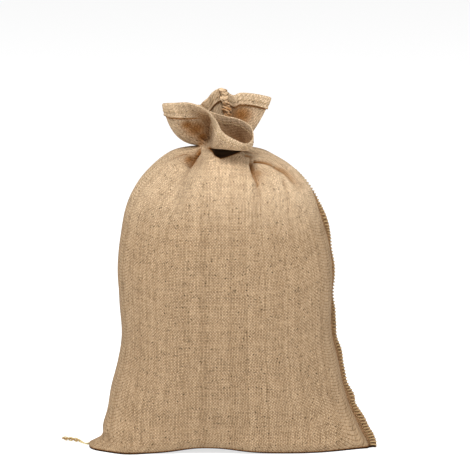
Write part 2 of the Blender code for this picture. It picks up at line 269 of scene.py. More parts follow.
# %% Table of folds, in millimetres, as seen from the front or from the back
# side is -1 for the front and 1 for the back. Each point is (x, height), on a plane that
# slants as TABLE_SLANT says. dark is how much shade is painted at the bottom of the crease.
Fold = namedtuple("Fold", "name side top middle end depth left_wall right_wall dark")
FOLDS = [Fold(*row) for row in (
    ("left of the tongue", -1, (-56, 514), (-66, 500), (-73, 486), 26, 17, 3, 0.9),
    ("left of the tongue, below", -1, (-73, 488), (-84, 455), (-90, 410), 3, 24, 18, 0.05),
    ("left roll", -1, (-58, 518), (-84, 512), (-112, 499), 5, 2.5, 8, 0.25),
    ("right of the tongue", -1, (32, 493), (37, 474), (46, 452), 13, 2.5, 15, 0.75),
    ("right of the tongue, below", -1, (44, 456), (47, 430), (50, 400), 3, 14, 18, 0.12),
    ("under the ridge", -1, (40, 499), (60, 494), (86, 482), 8, 2.2, 6, 0.85),
    ("right roll", -1, (22, 514), (34, 512), (48, 509), 1.5, 2.2, 2.6, 0.5),
    ("right pleat", -1, (24, 507), (33, 505), (42, 505), 1.8, 2.2, 2.6, 0.65),
    ("brown trough", -1, (76, 489), (98, 475), (124, 444), 9, 8, 11, 0.65),
    ("between the rolls", -1, (90, 462), (96, 438), (96, 400), 4, 15, 15, 0.12),
    ("edge of the right lobe", -1, (104, 470), (120, 450), (126, 420), 3, 18, 18, 0.05),
    ("under the panel", -1, (-36, 517), (-20, 507), (10, 516), 12, 3, 9, 0),
    ("back, left", 1, (-57, 512), (-84, 478), (-112, 408), 13, 16, 9, 0.4),
    ("back, left roll", 1, (-66, 508), (-96, 500), (-128, 478), 7, 4, 12, 0.4),
    ("back, middle", 1, (-26, 510), (-30, 476), (-36, 414), 12, 9, 18, 0.4),
    ("back, right", 1, (8, 508), (34, 474), (62, 414), 13, 9, 16, 0.4),
    ("back, right roll", 1, (20, 504), (56, 492), (92, 466), 8, 9, 4, 0.4),
)]
print(len(FOLDS), "folds")

# %% How deep a fold is at each point
TABLE_SLANT = 0.2035  # a table's height is z less this, for each step out from the middle
SHARPEST_WALL = 2.2
SWALLOWED_WIDTH = 7.0
SIDE_STEP = 4.0  # over how much of y a fold of the front fades out towards the back


def fold_depth(fold, rows):
    """depth x a cusp over the distance from the fold's curve x a cosine that fades to its
    end x a soft step that keeps it on its own side. Returns it, a narrow bell for the
    cloth that the crease swallows, and the shade painted in the crease."""
    spine = smooth_curve([fold.top, fold.middle, fold.end])[::4]
    out_from_middle = fold.side * rows[..., 1]
    drawn = np.stack([rows[..., 0], rows[..., 2] - TABLE_SLANT * out_from_middle], axis=-1)
    place = drawn[..., None, :] - spine
    distance = np.linalg.norm(place, axis=-1)
    nearest = distance.argmin(axis=-1)
    distance = distance.min(axis=-1)
    along = nearest / (len(spine) - 1)
    run = unit(np.gradient(spine, axis=0))[nearest]
    offset = np.take_along_axis(place, nearest[..., None, None], axis=-2)[..., 0, :]
    turned = offset[..., 0] * run[..., 1] - offset[..., 1] * run[..., 0]
    wall = np.where(turned > 0, fold.left_wall, fold.right_wall) * (0.45 + 0.55 * along)
    on_side = 1 / (1 + np.exp(-out_from_middle / SIDE_STEP))
    cusp = np.exp(-((distance / np.maximum(wall, SHARPEST_WALL)) ** 1.5))
    swallowed = bell(distance, SWALLOWED_WIDTH) * on_side * (fold.depth > 0)
    fade = np.cos(along * np.pi / 2)
    dark = fold.dark * fade**0.5 * on_side * np.exp(-((distance / np.maximum(wall, 3)) ** 3))
    return fold.depth * fade * on_side * cusp, swallowed, dark


print("a table's height drops", TABLE_SLANT, "mm for each mm out from the middle")

# %% [markdown]
# ## The cloth as a grid
#
# A point of the cloth has two numbers: how far round the sack it is, from the side seam
# over the back to the left fold and home over the front, and how far up it is. Whole
# arrays of them go through one formula, and the result is a grid of places. The filled
# body comes first: each outline is a squared ellipse, and cubics join them upwards.

# %% Columns and rows
BACK_COLUMNS = 160
FRONT_COLUMNS = 234
BODY_ROWS = 150
FLARE_ROWS = 40
HEM_ROWS = 10
INSIDE_ROWS = 40
SEAM_EDGE = 0.0014  # the share of the way round where the seam's edge is
SEAM_FOOT = 0.0028

back_shares = np.linspace(SEAM_FOOT, 0.5, BACK_COLUMNS, endpoint=False)
front_shares = np.linspace(0.5, 1 - SEAM_FOOT, FRONT_COLUMNS)
around = np.concatenate([[SEAM_EDGE], back_shares, front_shares, [1 - SEAM_EDGE]])
fold_column = len(back_shares) + 1
print(len(around), "columns round the sack, and the left fold is number", fold_column)

# %% Outlines to rows
OUTLINE_POINTS = 720
EAR_SHARPNESS = 40
EAR_SQUARES = 0.03
NECK = SECTIONS[-1]
# The seam climbs over the shoulder a little behind its highest line: (height, by how much).
SEAM_BEHIND = ((0, 0), (414, 0), (454, 28), (484, 42), (506, 38), (519, 18), (526, 8))


def half_by_half(over_back, over_front):
    """Points round the sack, from a curve over its back and a curve over its front."""
    back, front = around[around < 0.5], around[around >= 0.5]
    return np.concatenate([spaced(over_back, back * 2), spaced(over_front, front * 2 - 1)])


def rim_ring():
    """The rim's points, followed by belly, sag and the place at the neck."""
    curve = smooth_curve([point[1:] for point in RIM], closed=True)
    seam_at = POINTS_PER_SPAN * [point.name for point in RIM].index(SEAM)
    return half_by_half(curve[seam_at:], curve[: seam_at + 1])


def begun_later(over_back, over_front, by):
    """The two curves, with the first stretch of the back's moved to the front's end."""
    cut = int(np.searchsorted(run_along(over_back)[1:], by))
    return over_back[cut:], np.concatenate([over_front, over_back[1 : cut + 1]])


def section_ring(section, rim):
    """|x|^n + |y|^n = 1, stretched to the section's reach, with an ear at its left end, and
    moved towards the rim's outline by the share that is gathered."""
    middle = (section.left + section.right) / 2
    half = (section.right - section.left) / 2
    angle = np.linspace(0, np.pi, OUTLINE_POINTS)
    side, across, deep = np.sign(np.cos(angle)), np.abs(np.cos(angle)), np.sin(angle)
    z = section.z - section.dip * deep**2
    ear = section.ear * (side < 0)
    power = 2 / section.squareness
    reach = half * across**power + ear * across**EAR_SHARPNESS
    back = np.stack([middle + side * reach, section.back * deep**power, z], axis=1)
    power = 2 / (section.squareness + EAR_SQUARES * ear)
    reach = (half + ear) * across**power
    front = np.stack([middle + side * reach, section.front * deep**power, z], axis=1)
    behind = from_pairs(section.z, SEAM_BEHIND)
    ring = half_by_half(*begun_later(back, front[::-1], behind))
    (neck_low, neck_high), (low, high) = (
        np.array([(box.left, box.front), (box.right, box.back)]) for box in (NECK, section)
    )
    folded = low + (rim[:, 5:] - neck_low) / (neck_high - neck_low) * (high - low)
    ring[:, :2] += section.gathered * (folded - ring[:, :2])
    return ring


rim = rim_ring()
keys = np.stack([section_ring(section, rim) for section in SECTIONS])
print("outlines", keys.shape, "rim length", round(run_along(rim[:, :3])[-1]), "mm")

# %% The filled body
DENSER_AT_ENDS = 0.55
EVENED_ABOVE, EVENED_WITHIN, EVENED_TIMES = 410.0, 40.0, 24


def normals_of(rows):
    """Outward directions of a grid that closes on itself: across x upwards."""
    across = np.roll(rows, -1, axis=1) - np.roll(rows, 1, axis=1)
    return unit(np.cross(across, np.gradient(rows, axis=0)))


def filled_rows():
    """Cubics through the outlines, closer together near the base and near the neck, and
    for each row the seam's width and how far it is gathered."""
    key_at = np.concatenate([[0.0], np.cumsum(step_lengths(keys).mean(axis=1))])
    slopes = np.gradient(keys, key_at, axis=0)
    t = np.linspace(0, 1, BODY_ROWS)
    rows_at = (t - DENSER_AT_ENDS * np.sin(2 * np.pi * t) / (2 * np.pi)) * key_at[-1]
    low = np.clip(np.searchsorted(key_at, rows_at, side="right") - 1, 0, len(keys) - 2)
    span = np.diff(key_at)[:, None, None]
    t = (rows_at - key_at[low])[:, None, None] / span[low]
    leaving, meeting = slopes.copy(), slopes.copy()
    leaving[:-1] *= span
    meeting[1:] *= span
    facts = np.array([(section.seam, section.gathered) for section in SECTIONS], float)
    return blend_between(keys, leaving, meeting, low, t), *read_at(rows_at, key_at, facts).T


def evened(rows):
    """From the shoulders up, each row becomes a quarter of its two neighbours and a half
    of itself, many times."""
    above = ramp(rows[1:-1, :, 2:], EVENED_ABOVE, EVENED_WITHIN)
    for _ in range(EVENED_TIMES):
        mean = 0.25 * rows[:-2] + 0.5 * rows[1:-1] + 0.25 * rows[2:]
        rows[1:-1] += above * (mean - rows[1:-1])
    return rows


body, seam_width, gathered = filled_rows()
unfolded = evened(body)
print("filled body", body.shape)

# %% Press the folds in, and make the surface uneven
# creases gathers the shade painted at the bottom of each fold.
depth, swallowed, creases = np.zeros((3, *unfolded.shape[:2]))
for fold in FOLDS:
    pressed, taken, dark = fold_depth(fold, unfolded)
    depth += pressed
    swallowed += taken
    creases = np.maximum(creases, dark)
x, y, z = np.moveaxis(unfolded, -1, 0)
waves = (
    0.9 * np.sin(x / 21 + 2.0 * np.sin(z / 70) + np.sign(y))
    + 0.8 * np.sin(x / 37 - z / 55 + 1.3 * np.sin(y / 40))
    + 0.5 * np.sin(z / 27 + 1.5 * np.sin(x / 45))
)
waves *= np.interp(z, [0, 40, 160, 400, 500], [0.3, 1, 0.9, 1, 0.3]) * (1 - gathered)[:, None]
deep = depth * (1 - gathered**2)[:, None]
body = unfolded - normals_of(unfolded) * (deep + waves)[..., None]
print("deepest fold", round(depth.max(), 1), "mm")

# %% [markdown]
# ## The base
#
# The filled cloth rests on the floor in a flat patch. Round it the cloth turns up, and at
# the front a stretch of its edge is lifted a little, so that a dark gap shows there; the
# edge's lowest millimetres also get painted shade, further on.

# %% Lift the edge of the base
BASE_LIFT = 8.2
LIFT_AT, LIFT_REACH = -40.0, 62.0
LIFT_FADES_BY = 34.0  # the height over which the lift dies out
LIFT_DRAWS_BACK = 0.9


def lifted(rows):
    """z + lift x a bell along x x the front's share x a fade with height."""
    x, y, z = np.moveaxis(rows, -1, 0)
    along = np.exp(-np.abs((x - LIFT_AT) / LIFT_REACH) ** 2.4)
    lift = BASE_LIFT * along * ramp(-y, 0, 90) * np.exp(-np.maximum(z, 0) / LIFT_FADES_BY)
    return rows + np.stack([0 * z, LIFT_DRAWS_BACK * lift, lift], axis=-1)


Corner = namedtuple("Corner", "name side begins sharpness forward front_in back_in bulge")
CORNERS = (
    Corner("left ear", -1, 125, 1.2, 30, 0.35, 1.0, 14),
    Corner("seam's corner", 1, 140, 2.0, 54, 0.8, 0.8, 0),
)
BULGE_AT, BULGE_WIDE = 185.0, 35.0
CORNER_HEIGHT, CORNER_LENGTH = 110.0, 100.0


def corners_turned(rows):
    """y x (1 - in x s) - forward x s - bulge x a bell over x, where s is (share of the way
    out to the corner)^sharpness x a fade with height, and front and back have their own in."""
    rows = rows.copy()
    fade = (1 - ramp(rows[..., 2], 0, CORNER_HEIGHT)) ** 1.5
    for corner in CORNERS:
        x, y = corner.side * rows[..., 0], rows[..., 1]
        out = ramp(x, corner.begins, CORNER_LENGTH) ** corner.sharpness * fade
        bulge = corner.bulge * bell(x - BULGE_AT, BULGE_WIDE) * fade * (y < 0)
        drawn_in = np.where(y < 0, corner.front_in, corner.back_in)
        rows[..., 1] -= out * (drawn_in * y + corner.forward) + bulge
    return rows


body = corners_turned(lifted(body))
print("edge of the base is lifted by up to", round(body[0, :, 2].max(), 1), "mm")

# %% [markdown]
# ## The mouth
#
# Above the neck the cloth is a wall between two rings: the neck, and the rim. Its top is
# a hem, the cloth's edge turned outwards and stitched, so its lower edge stands out. The
# wall goes over the rim in a round lip and down inside to the gathered floor.

# %% The wall between neck and rim
CLOTH = 1.5  # the thickness of one layer
HEM_WIDTH = 20.0
# The hem's width behind, where it narrows at the left fold, and on the front: (x, width).
HEM_BEHIND = ((-119, 14), (-106, HEM_WIDTH))
HEM_ON_FRONT = (
    (-125, 12), (-114, 15), (-105, 18), (-95, 21), (-80, 27), (-68, 30), (-50, 24), (-30, 20),
)
EVENED_OVER = 9  # columns
neck = body[-1]


def wall_at(share):
    """neck + share x (rim - neck), bowed by 4 share (1 - share) outwards and down."""
    outward = unit(rim[:, :2] - rim[:, :2].mean(axis=0))
    bow = np.concatenate([outward * rim[:, 3:4], -rim[:, 4:5]], axis=1)
    share = share[..., None]
    return neck + (rim[:, :3] - neck) * share + 4 * share * (1 - share) * bow


wall_length = np.linalg.norm(rim[:, :3] - neck, axis=1)
front_rim = (around > 0.5) & (rim[:, 1] < -18 - 0.15 * (rim[:, 0] + 120))  # to the scoop
rim_x = rim[:, 0]
hem_width = np.where(front_rim, from_pairs(rim_x, HEM_ON_FRONT), from_pairs(rim_x, HEM_BEHIND))
hem_width = np.pad(hem_width, EVENED_OVER // 2, mode="wrap")
hem_width = np.convolve(hem_width, np.full(EVENED_OVER, 1 / EVENED_OVER), mode="valid")
hem_at = 1 - hem_width / np.maximum(wall_length, 1.6 * HEM_WIDTH)
up_the_hem = np.linspace(0, 1, HEM_ROWS)
flare = np.linspace(0, 1, FLARE_ROWS + 1)[1:, None] * (hem_at - 0.3 / wall_length)
wall_shares = np.concatenate([flare, hem_at + up_the_hem[:, None] * (1 - hem_at)])
mouth = wall_at(wall_shares)
print("mouth", mouth.shape, "hem", hem_width.min().round(1), "to", hem_width.max().round(1), "mm")

# %% The hem's thickness and the inside
MOUTH_FLOOR = 535.0
MOUTH_FLOOR_SLOPE = 0.08
LIP_RISE = 1.0
# How far the hem stands out of the wall, from its lower edge up: (share, by how much).
HEM_STANDS = ((0, 2.9), (0.12, 2.9), (0.24, 1.4), (0.4, 2.1), (0.9, 1.8), (1, 1.2))


def floor_height(points):
    """The height of the gathered floor of the mouth, which rises a little to the back."""
    return MOUTH_FLOOR + MOUTH_FLOOR_SLOPE * points[..., 1]


search = np.linspace(0, 1, 101)[1:, None] * np.ones(len(rim))
wall = wall_at(search)
floor_share = search[((wall[..., 2] < floor_height(wall)) * search).argmax(axis=0), 0]
inside = wall_at(1 - np.linspace(0, 1, INSIDE_ROWS)[:, None] * (1 - floor_share))

outside = np.concatenate([body, mouth])
room_for_hem = np.clip((wall_length - 48) / 24, 0.25, 1)
hem_stands = from_pairs(up_the_hem, HEM_STANDS)[:, None] * room_for_hem
outside[-HEM_ROWS:] += normals_of(outside)[-HEM_ROWS:] * hem_stands[..., None]
inside += normals_of(inside) * CLOTH  # these rows run down, so their normals point in
inside[-1, :, 2] = floor_height(inside[-1])
lip = (outside[-1] + inside[0]) / 2 + np.array([0, 0, LIP_RISE])
print("inside", inside.shape, "rim up to", round(outside[..., 2].max()), "mm")

# %% The overedged seam
SEAM_THICKNESS = 4.0
SEAM_AT_RIM = 8.0
SEAM_LEAN = (  # (height, angle in degrees)
    (0, 0), (46, 0), (60, 30), (66, 38), (75, 14), (86, 28), (97, 34), (110, 34), (134, 50),
    (167, 42), (225, 48), (290, 56), (350, 50), (372, 40), (388, -4), (406, 6), (424, 40),
    (450, 60), (530, 70), (620, 80),
)
heights = outside[:, 0, 2]
seam_width = np.concatenate([seam_width, np.linspace(0, SEAM_AT_RIM, len(mouth))])
seam_width *= 1 + 0.10 * np.sin(heights / 11) + 0.07 * np.sin(heights / 6.3 + 1)
lean = np.radians(from_pairs(heights, SEAM_LEAN) + 9 * np.sin(heights / 13))[:, None]


def with_seam(rows):
    """The first and last columns stand out of the cloth as a flat fin, which leans back
    by the angle in the table at each height."""
    facing = normals_of(rows)
    along = unit(rows[:, 1] - rows[:, -2])
    out = unit(facing[:, 2] + facing[:, -3]) * np.cos(lean) + along * np.sin(lean)
    middle = (rows[:, 1] + rows[:, -2]) / 2
    room = np.linalg.norm(rows[:, 2] - rows[:, -3], axis=1, keepdims=True)
    half = np.minimum(SEAM_THICKNESS / 2, 0.3 * room)
    rows = rows.copy()
    for column, sense, reach in ((1, 1, 0), (0, 1, 1), (-1, -1, 1), (-2, -1, 0)):
        rows[:, column] = middle + sense * along * half + out * (reach * seam_width)[:, None]
    rows[..., 2] = np.maximum(rows[..., 2], 0)
    return rows


outside = with_seam(outside)
print("seam stands out by up to", round(seam_width.max(), 1), "mm")

# %% [markdown]
# ## Where each point lies on the flat cloth
#
# The weave has to keep its real scale, so every point gets its place on the cloth as it
# lay before it was sewn. Up the cloth that is the length of the column below it. Round
# the sack it is the length along the row, counted between lines that run straight up:
# the seam, the fold, and the middle of the front. Where the sack is narrower than its
# cloth, the spare cloth is swallowed by the creases.

# %% Flat places of the grid
CLOTH_ROUND = 1000.0
MIDDLE_X = -8.0
QUARTERS = (0.0, 500.0, 760.0, CLOTH_ROUND)  # flat places of seam, fold, middle and seam


PLEATS = (
    "pleat turn", "trough edge", "scoop end", "right lobe begins", "back right",
    "back middle wave", "back left wave",
)
PLEAT_WIDTH = 6.0


def middle_columns(rows):
    """For each row, the column of the front nearest to where x is MIDDLE_X."""
    return np.abs(rows[:, fold_column:, 0] - MIDDLE_X).argmin(axis=1) + fold_column


def lengths_round(rows, taken, middle, loose=0.08):
    """Running sum of (step + spare cloth x weight), done between the upright lines."""
    steps = step_lengths(rows, axis=1)
    column = np.arange(rows.shape[1])
    from_middle = np.abs(column - middle[:, None]) / 90
    weight = taken + 0.02 + loose * np.minimum(from_middle, 1) ** 2
    weight = (weight[:, 1:] + weight[:, :-1]) / 2 * steps
    ends = [0 * middle, 0 * middle + fold_column, middle, 0 * middle + column[-1]]
    u = np.zeros(rows.shape[:2])
    for part in range(3):
        here = (column[:-1] >= ends[part][:, None]) & (column[:-1] < ends[part + 1][:, None])
        total = (steps * here).sum(axis=1, keepdims=True)
        cloth = QUARTERS[part + 1] - QUARTERS[part]
        spare = np.maximum(cloth - total, 0) * weight / (weight * here).sum(axis=1, keepdims=True)
        widened = steps * np.minimum(cloth / total, 1) + spare
        u[:, 1:] += np.cumsum(widened * here, axis=1)
    return u


def lengths_up(unfolded):
    """Running length of each column, before the folds were pressed."""
    return np.concatenate([np.abs(unfolded[:1, :, 1]), step_lengths(unfolded)]).cumsum(axis=0)


pleats = np.array([point[1:3] for point in RIM if point.name in PLEATS], float)
pleat_near = np.linalg.norm(rim[:, None, :2] - pleats, axis=2).min(axis=1)
in_pleat = np.repeat(bell(pleat_near, PLEAT_WIDTH)[None], len(mouth), axis=0)
neck_middle = np.repeat(middle_columns(body[-1:]), len(mouth))
mouth_u = lengths_round(outside[len(body) :], in_pleat, neck_middle, loose=0)
body_u = lengths_round(outside[: len(body)], swallowed, middle_columns(body))
body_u += (gathered**0.7)[:, None] * (mouth_u[0] - body_u)
flat_u = np.concatenate([body_u, mouth_u])
flat_v = lengths_up(np.concatenate([unfolded, mouth]))
over_lip = np.concatenate([outside[-1:], lip[None], inside])
inner_v = flat_v[-1] + step_lengths(over_lip).cumsum(axis=0)
print("cloth is", round(flat_u.max()), "mm round and up to", round(flat_v.max()), "mm high")

# %% [markdown]
# ## From the grid to a mesh
#
# All rows are stacked: the underside's rings, the outside, the lip and the inside. Four
# neighbours make a face, the last column joins the first, and a many-sided face closes
# each end. The flat places go in as a UV map, in metres. The same function makes threads,
# since a thread is a grid that closes round too, and many of them fit in one mesh.

# %% A mesh from closed grids
def cell_corners(grid):
    """The four corners of each cell of a grid: (..., rows, columns, values) becomes
    (..., rows - 1, columns - 1, 4, values)."""
    low, high = grid[..., :-1, :, :], grid[..., 1:, :, :]
    return np.stack([low[..., :-1, :], low[..., 1:, :], high[..., 1:, :], high[..., :-1, :]], axis=-2)


def new_piece(name, points, quads, ends, flat):
    """A smooth mesh of quads and many-sided ends, its points in millimetres, with a UV map
    of flat places in metres."""
    sizes = np.concatenate([np.full(len(quads), 4), [len(end) for end in ends]])
    loops = np.concatenate([quads.ravel(), *ends])
    starts = np.concatenate([[0], np.cumsum(sizes)[:-1]])
    mesh = bpy.data.meshes.new(name)
    mesh.vertices.add(len(points))
    mesh.vertices.foreach_set("co", (points * MM).ravel())
    mesh.loops.add(len(loops))
    mesh.loops.foreach_set("vertex_index", loops.astype(np.int32))
    mesh.polygons.add(len(sizes))
    mesh.polygons.foreach_set("loop_start", starts.astype(np.int32))
    mesh.polygons.foreach_set("use_smooth", np.ones(len(sizes), bool))
    mesh.uv_layers.new(name="flat cloth")
    mesh.uv_layers[0].data.foreach_set("uv", (flat * MM).ravel())
    mesh.update(calc_edges=True)
    mesh.validate()
    return add_object(name, mesh)


def closed_grids(name, points, flat):
    """Faces between neighbours of (grid, row, column), closed round and capped at both
    ends. flat has one column more than points, since there the last meets the first."""
    index = np.arange(points[..., 0].size).reshape(points.shape[:3])
    wide = np.concatenate([index, index[..., :1]], axis=-1)[..., None]
    ends = [*index[:, 0, ::-1], *index[:, -1]]
    end_flat = [*flat[:, 0, -2::-1], *flat[:, -1, :-1]]
    flat = np.concatenate([cell_corners(flat).reshape(-1, 2), *end_flat])
    return new_piece(name, points.reshape(-1, 3), cell_corners(wide).reshape(-1, 4), ends, flat)


print("3 x 4 points make", cell_corners(np.zeros((3, 4, 1))).shape[:2], "cells")

# %% Build the sack's mesh
UNDERSIDE = ((0.12, 0.9), (0.45, 1.4), (0.8, 0.2), (0.93, 0.0))  # (share of the way out, rise)
SEAM_SWALLOWS = 4.0  # cloth between the last column and the first
ring = outside[0]
centre = np.array([ring[:, 0].mean(), 0, 0])
share, rise = np.array(UNDERSIDE).T[..., None]
under = centre + share[..., None] * (ring - centre)
under[..., 2] = rise + ring[:, 2] * ramp(share, 0.3, 0.7) ** 1.5
under_v = flat_v[0] * share

rows = np.concatenate([under, outside, lip[None], inside])
all_u = np.pad(flat_u, ((len(under), len(inner_v)), (0, 0)), mode="edge")
all_v = np.concatenate([under_v, flat_v, inner_v])
all_u = np.concatenate([all_u, all_u[:, -1:] + SEAM_SWALLOWS], axis=1)
all_v = np.concatenate([all_v, all_v[:, :1]], axis=1)
sack = closed_grids("sack", rows[None], np.stack([all_u, all_v], axis=-1)[None])
print("sack mesh has", len(sack.data.vertices), "points and", len(sack.data.polygons), "faces")

# %% [markdown]
# ## Where little light gets in
#
# Creases, the mouth and the edge on the floor get painted shade: they are darker, and the
# cloth looks browner there. Each point of the mesh keeps a number for that, its shade, and
# another for painted light, which makes the shoulders and the mouth paler; the lip of the
# rim is paler too. Both are numbers on the mesh's points, so they hold from every side.

# %% How hollow a place is, and where shade is painted
# Painted shade in soft balls round these places: each has its middle, its reach in x, y and z, and
# how dark.
DimPlace = namedtuple("DimPlace", "name x y z wide deep high strength")
DIM_PLACES = [DimPlace(*row) for row in (
    ("trough", -60, -38, 557, 28, 45, 19, 0.93),
    ("under the left hem", -76, -38, 565, 16, 45, 11, 0.9),
    ("foot of the trough", -50, -32, 543, 15, 45, 13, 1.0),
    ("neck's left corner", -54, -28, 531, 9, 30, 5, 0.9),
    ("left fold", -71, -38, 506, 14, 40, 9, 0.82),
    ("right of the triangle", 43, -64, 487, 13, 40, 9, 0.6),
    ("roll on the right", 84, -52, 494, 16, 40, 7, 0.5),
    ("panel", 15, 8, 578, 25, 40, 22, 0.85),
)]


def keep_on_points(piece, name, values):
    """A number for each point of the mesh, for its finish to read."""
    layer = piece.data.attributes.new(name, "FLOAT", "POINT")
    layer.data.foreach_set("value", values.astype(np.float32).ravel())


def hollows(rows, step, tightest):
    """Twice (mean of the two points step away - the point) along the normal, over their
    distance squared, x the radius that counts as full: up to 1 where the grid is hollow."""
    facing = normals_of(rows)
    most = np.zeros(rows.shape[:2])
    for axis in (0, 1):
        ahead, behind = np.roll(rows, -step, axis), np.roll(rows, step, axis)
        if axis == 0:
            ahead[-step:], behind[:step] = rows[-step:], rows[:step]
        sink = (((ahead + behind) / 2 - rows) * facing).sum(axis=2)
        apart = np.linalg.norm(ahead - behind, axis=2) / 2
        most = np.maximum(most, 2 * sink / np.maximum(apart, 1) ** 2)
    return np.clip(most * tightest, 0, 1)


def dimness(rows):
    """The most of several soft balls: strength x exp(-squared distance in their radii)."""
    most = np.zeros(rows.shape[:2])
    for place in DIM_PLACES:
        balls = bell(rows - np.array(place[1:4]), np.array(place[4:7]))
        most = np.maximum(most, place.strength * balls.prod(axis=2))
    return most


print(len(DIM_PLACES), "dim places")

# %% Painted shade of the outside
# Painted shade: the pocket under the scoop is painted near black over all that lies above this line
# on the front.
POCKET_SHADE_EDGE = (
    (-46, 521), (-38, 518.5), (-34, 515), (-30, 508), (-20, 502), (-12, 504), (12, 513), (21, 518),
)


def darken(part, least):
    """Makes a part of the grid of shades at least so dark."""
    np.maximum(part, least, out=part)


x, y, z = np.moveaxis(outside, -1, 0)
drawn_height = z + TABLE_SLANT * y  # the height that the tables of the front use
# Painted shade in the hollows of the grid, with less of it low down, and in the creases.
shade = 1 - (1 - 0.35 * hollows(outside, 2, 5)) * (1 - 0.4 * hollows(outside, 6, 18))
shade *= np.interp(z, [15, 80], [0.15, 1])
darken(shade[: len(body)], creases)
# Painted shade where the mouth's wall bows inwards.
bows_in = ramp(-rim[:, 3], 0, 24) * np.clip(5 * wall_shares * (1 - wall_shares), 0, 1)
darken(shade[len(body) :], 0.6 * bows_in)
in_neck = np.concatenate([np.ones(len(body)), 1 - ramp(wall_shares[:, 0], 0, 0.14)])
# Painted shade fills the pocket under the scoop.
pocket_shade = ramp(drawn_height - from_pairs(x, POCKET_SHADE_EDGE), -3, 2.5)
pocket_shade *= in_neck[:, None] * (y < -6) * (z < 540) * ramp(x, -44, 6) * (x < 20)
darken(shade, pocket_shade)
# Painted contact shadow: near black along the lowest millimetres of the edge on the floor.
floor_contact_shadow = np.clip(1.9 - (z - z[0]) / 3.0, 0, 1)
darken(shade, floor_contact_shadow)

# %% Painted shade of the mouth, the seam and the underside
PAST_TROUGH = 5
SEAM_SHADE = 0.5
# Painted shade down the inside, with a darker line where the hem's stitches are: (share of the way,
# shade).
INNER_SHADE = ((0, 0.2), (0.17, 0.25), (0.2, 0.6), (0.23, 0.3), (0.32, 0.48), (1, 0.5))

trough_edge = np.array([point[1:4] for point in RIM if point.name == "trough edge"], float)
scoop = np.linalg.norm(rim[:, :3] - trough_edge, axis=1).argmin() + PAST_TROUGH
# Painted shade from the dim places; on the mouth past the trough's edge, only where x is above 0.
dim = dimness(outside)
dim[len(body) :, scoop:] *= x[len(body) :, scoop:] > 0
darken(shade, dim)
# Painted shade on the cloth of the seam's fin.
darken(shade[:, :2], SEAM_SHADE)
darken(shade[:, -2:], SEAM_SHADE)
hem_row = len(body) + FLARE_ROWS
# Painted shadow under the hem's lower edge, fading out on the front before the trough.
hem_shadow = 0.75 * room_for_hem * np.where(front_rim, ramp(-rim[:, 0], 66, 16), 1)
darken(shade[hem_row - 2 : hem_row + 1], hem_shadow)
inner_shade = from_pairs(np.linspace(0, 1, INSIDE_ROWS), INNER_SHADE)[:, None] + 0 * inside[..., 0]
# The underside is all in painted shade; the lip has none.
shade = np.concatenate([0 * under_v + 1, shade, 0 * lip[None, :, 0], inner_shade])
keep_on_points(sack, "shade", shade)
print("mean shade", round(shade.mean(), 2))

# %% Painted light, and the paler lip of the rim
# Places on the front that get painted light: x, height, width, height of the place, how much.
PAINTED_LIGHT_PLACES = ((30, 506, 16, 9, 0.5), (-30, 552, 6, 17, 0.6))

x_all, y_all, z_all = np.moveaxis(rows, -1, 0)
rows_past_rim = np.arange(len(rows)) - len(under) - len(outside)
# The lip of the rim is made paler. The rest is painted light: the shoulders, more over the right
# shoulder, the right lobe of the mouth and the whole inside.
on_rim = bell(rows_past_rim, 2.2)[:, None]
on_shoulder = ramp(z_all, 380, 80) * (0.52 + 0.45 * ramp(x_all, 40, 60))
in_mouth = ramp(z_all, 545, 20) * ramp(x_all, -8, 14) * ramp(y_all, -8, 6)
painted_light = 0.35 * on_rim + on_shoulder + 0.48 * in_mouth
painted_light[-len(inside) :] += 1.0
painted_light_outside = painted_light[len(under) : len(under) + len(outside)]
for pale_x, pale_height, wide, high, strength in PAINTED_LIGHT_PLACES:
    near = bell(x - pale_x, wide) * bell(drawn_height - pale_height, high)
    painted_light_outside += strength * near * (y < -15)
keep_on_points(sack, "painted_light", np.clip(painted_light, 0, 1))
print("mean wear", round(np.clip(painted_light, 0, 1).mean(), 2))

# %% [markdown]
# ## Threads
#
# Everything that is sewn is a thread: a round tube along a path. A tube needs, at each
# point of its path, a direction that is not along it, to start its circle from.

# %% Tubes
STRAND_APART = 17.0  # on the flat, so that no two strands have the same fibres


def tubes(name, paths, radius, up, sides=6, shade=0.0):
    """Point on a tube = path + radius x (cos a x first + sin a x second), where first is
    up made square to the path, and second is square to both. Many paths go in one mesh."""
    along = unit(np.gradient(paths, axis=1))
    first = unit(up - (up * along).sum(axis=2, keepdims=True) * along)
    second = np.cross(along, first)
    angle = np.linspace(0, 2 * np.pi, sides, endpoint=False)[:, None]
    radius = np.broadcast_to(radius, paths.shape[:2])[..., None, None]
    circle = np.cos(angle) * first[:, :, None] + np.sin(angle) * second[:, :, None]
    points = paths[:, :, None] + radius * circle
    run = np.pad(step_lengths(paths, axis=1).cumsum(axis=1), ((0, 0), (1, 0)))[..., None]
    run = run + STRAND_APART * np.arange(len(paths))[:, None, None]
    turn = np.linspace(0, 2 * np.pi * radius.mean(), sides + 1)
    made = closed_grids(name, points, np.stack(np.broadcast_arrays(run, turn), axis=-1))
    # Each point of a thread keeps its painted shade, for the thread's finish.
    keep_on_points(made, "shade", np.broadcast_to(np.asarray(shade)[..., None], points.shape[:3]))
    return made


print("strands lie", STRAND_APART, "mm apart on the flat")

# %% [markdown]
# ## The overedge stitch
#
# The two edges of the cloth are held together by a thread that winds round them. Its path
# is a flattened screw round the seam: out over the edge on one side, back on the other.

# %% Winding a thread round a seam
STITCH_PITCH = 6.0
THREAD = 1.35  # radius
TURN_POINTS = 16
SLANT = -0.5


